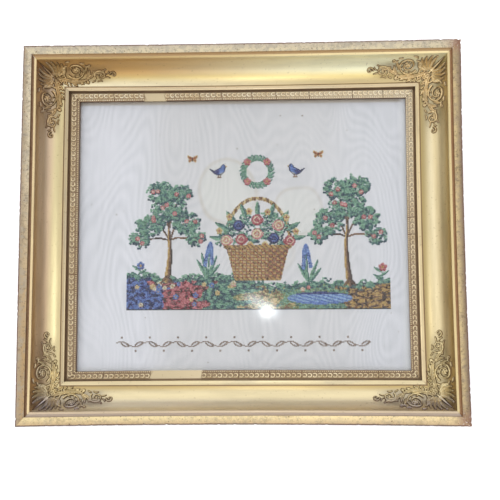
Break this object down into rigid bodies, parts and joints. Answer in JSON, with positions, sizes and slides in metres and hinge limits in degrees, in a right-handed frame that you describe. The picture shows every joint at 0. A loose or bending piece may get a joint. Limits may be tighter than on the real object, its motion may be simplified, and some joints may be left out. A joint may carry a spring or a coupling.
{
  "type": "framed cross stitch sampler with its gilt picture frame",
  "caption": "Stretched silk cloth worked in cross stitch under glass, in a deep gilt cove frame with cast corner ornaments.",
  "frame": {"origin": "on the surface that the frame lies on, under the middle of the frame", "axes": "+X to the right of the picture, +Y towards its top, +Z out of its face"},
  "size_m": [0.5, 0.432, 0.05],
  "materials": {
    "water_gilt": "burnished gold leaf on gesso over carved softwood, worn at the rim",
    "cast_gilt": "gold leaf on cast composition, matt in the hollows",
    "old_glass": "clear old sheet glass",
    "watered_silk": "watered silk with a soft sheen, worked in cross stitch",
    "old_deal": "plain planed softwood, darkened"
  },
  "bodies": {
    "root": {"rail_bottom": "water_gilt", "rail_right": "water_gilt", "rail_top": "water_gilt", "rail_left": "water_gilt", "ornament_bottom_left": "cast_gilt", "ornament_bottom_right": "cast_gilt", "ornament_top_right": "cast_gilt", "ornament_top_left": "cast_gilt", "band_bottom_left": "cast_gilt", "band_bottom_right": "cast_gilt", "band_top_left": "cast_gilt", "band_top_right": "cast_gilt", "band_left_run": "cast_gilt", "band_right_run": "cast_gilt", "glass_pane": "old_glass", "embroidered_cloth": "watered_silk", "backing_board": "old_deal"}
  },
  "joints": []
}
